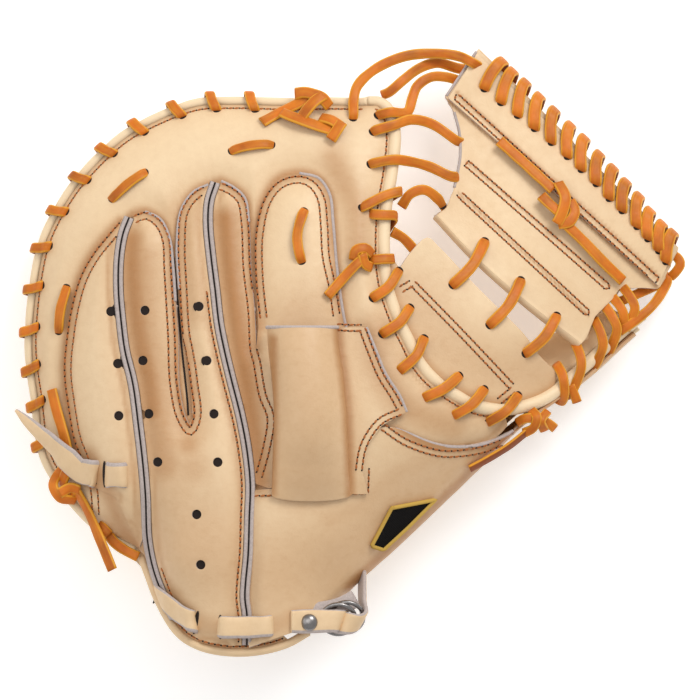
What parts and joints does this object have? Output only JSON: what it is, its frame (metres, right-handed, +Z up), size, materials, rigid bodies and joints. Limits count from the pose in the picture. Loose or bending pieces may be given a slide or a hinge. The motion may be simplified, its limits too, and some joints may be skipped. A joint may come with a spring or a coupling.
{
  "type": "catcher mitt",
  "caption": "Padded leather catcher mitt with a laced web, rolled edges and a wrist strap, lying on its pocket.",
  "frame": {"origin": "on the ground under the middle of the mitt's bounding box", "axes": "+X from the little finger to the web, +Y from the wrist to the fingertips, +Z up, out of the back of the hand"},
  "size_m": [0.3344, 0.3039, 0.107],
  "materials": {
    "tan_leather": "smooth tan cowhide with a fine grain",
    "cream_leather": "smooth cream leather, rolled",
    "bare_suede": "grey cut edge and flesh side of leather, matte",
    "lace_leather": "orange-brown waxed rawhide lace, slight sheen",
    "nickel_steel": "nickel-plated steel",
    "woven_patch": "dense black weave with a gold border"
  },
  "bodies": {
    "root": {"palm_shell": "tan_leather", "back_shell": "tan_leather", "little_finger_panel": "tan_leather", "ring_middle_panel": "tan_leather", "index_panel": "tan_leather", "crotch_lining": "tan_leather", "thumb_panel": "tan_leather", "index_hood": "tan_leather", "heel_binding": "tan_leather", "web_panel": "tan_leather", "web_top_band": "tan_leather", "web_base_panel": "tan_leather", "wrist_strap": "tan_leather", "pull_strap": "tan_leather", "ring_tab": "tan_leather", "thumb_strap": "tan_leather", "finger_rim_roll": "cream_leather", "crotch_rim_roll": "cream_leather", "thumb_rim_roll": "cream_leather", "seam_welt_little": "bare_suede", "seam_welt_middle": "bare_suede", "rim_lace": "lace_leather", "crotch_lace": "lace_leather", "web_top_lace": "lace_leather", "web_bridge_lace": "lace_leather", "finger_web_lace": "lace_leather", "finger_side_lace": "lace_leather", "web_fold_lace": "lace_leather", "web_base_tie": "lace_leather", "web_corner_lace": "lace_leather", "web_corner_tie": "lace_leather", "thumb_web_lace": "lace_leather", "web_tip_lace": "lace_leather", "top_knot": "lace_leather", "index_knot": "lace_leather", "web_knot": "lace_leather", "wrist_knot": "lace_leather", "thumb_knot": "lace_leather", "finger_tie_ring": "lace_leather", "finger_tie_little": "lace_leather", "finger_tie_side": "lace_leather", "finger_tie_index": "lace_leather", "strap_ring_inner": "nickel_steel", "strap_ring_outer": "nickel_steel", "snap_cap": "nickel_steel", "label_patch": "woven_patch"}
  },
  "joints": []
}
